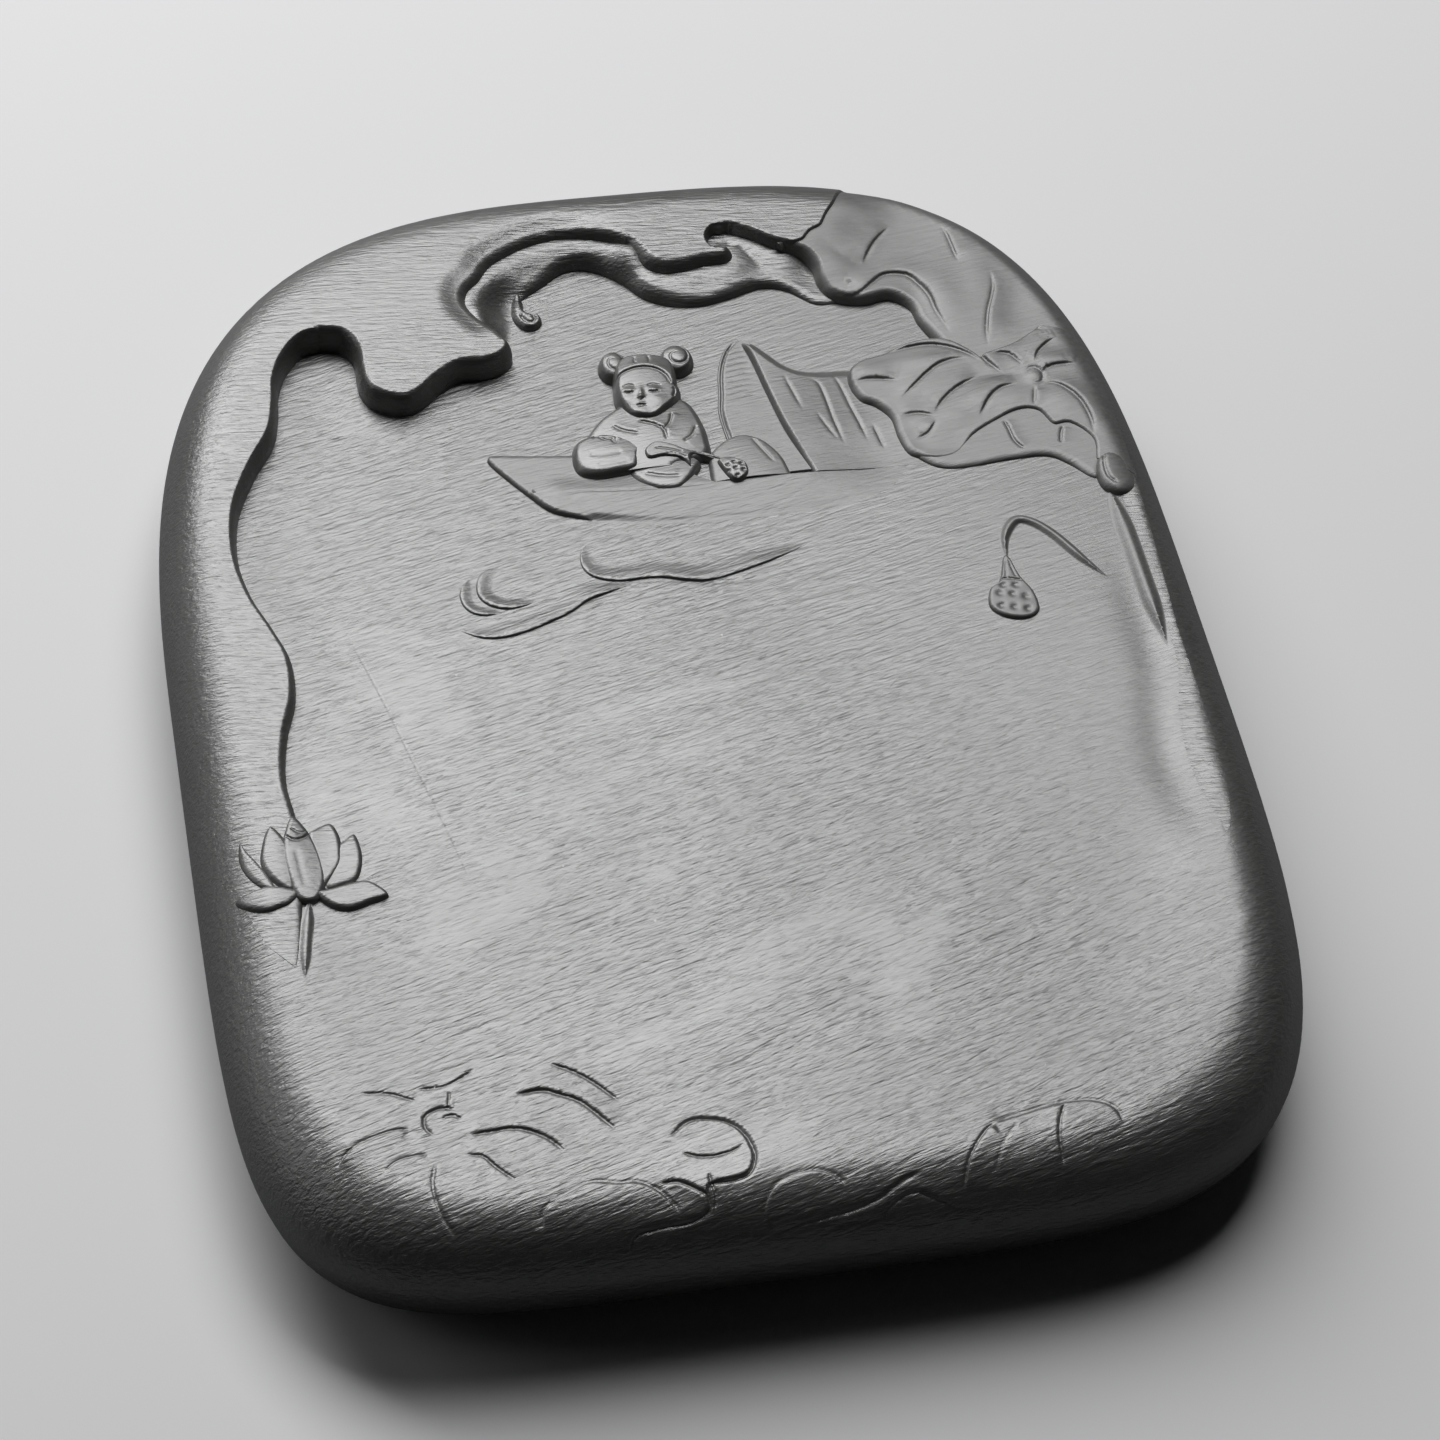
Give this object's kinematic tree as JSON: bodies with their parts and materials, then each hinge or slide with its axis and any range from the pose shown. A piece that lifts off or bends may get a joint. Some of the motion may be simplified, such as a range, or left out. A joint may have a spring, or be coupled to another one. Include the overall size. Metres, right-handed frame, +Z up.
{
  "type": "ink stone",
  "caption": "Slate ink stone, a rounded block with a sloping ink pool, a level grinding field and low carving of clouds, lotus and a child in a boat.",
  "frame": {"origin": "centre of the flat underside", "axes": "+X to the right across the width, +Y along the length toward the cloud end and the deep end of the ink pool, +Z up out of the carved face"},
  "size_m": [0.16, 0.208, 0.024],
  "materials": {
    "field_stone": "rubbed satin",
    "rim_stone": "polished",
    "leaf_stone": "carved, matte",
    "flower_stone": "carved, satin",
    "figure_stone": "carved, satin",
    "boat_stone": "carved, matte",
    "ripple_stone": "cut lines, matte"
  },
  "bodies": {
    "root": {"stone_body": "field_stone", "left_rim": "rim_stone", "right_rim": "rim_stone", "head_rim": "rim_stone", "cloud_tongue": "rim_stone", "cloud_ribbon": "rim_stone", "cloud_scroll": "rim_stone", "cloud_curl": "rim_stone", "rear_leaf": "leaf_stone", "front_leaf": "leaf_stone", "leaf_flap": "leaf_stone", "leaf_tip": "leaf_stone", "leaf_stalk": "leaf_stone", "seed_pod": "leaf_stone", "pod_stalk": "leaf_stone", "foot_leaf": "leaf_stone", "foot_bud_leaf": "leaf_stone", "foot_disc": "leaf_stone", "foot_right_leaf": "leaf_stone", "bloom": "flower_stone", "petal_left": "flower_stone", "petal_right": "flower_stone", "petal_far_right": "flower_stone", "petal_low_right": "flower_stone", "petal_low_left": "flower_stone", "petal_far_left": "flower_stone", "flower_stalk": "flower_stone", "child_head": "figure_stone", "hair_bun_left": "figure_stone", "hair_bun_right": "figure_stone", "child_sleeve": "figure_stone", "child_arm": "figure_stone", "child_torso": "figure_stone", "child_knees": "figure_stone", "held_pod": "figure_stone", "boat_hull": "boat_stone", "awning": "boat_stone", "awning_mat": "boat_stone", "bundle": "boat_stone", "upper_ripple": "ripple_stone", "lower_ripple": "ripple_stone", "swirl": "ripple_stone", "outer_swirl": "ripple_stone"}
  },
  "joints": []
}
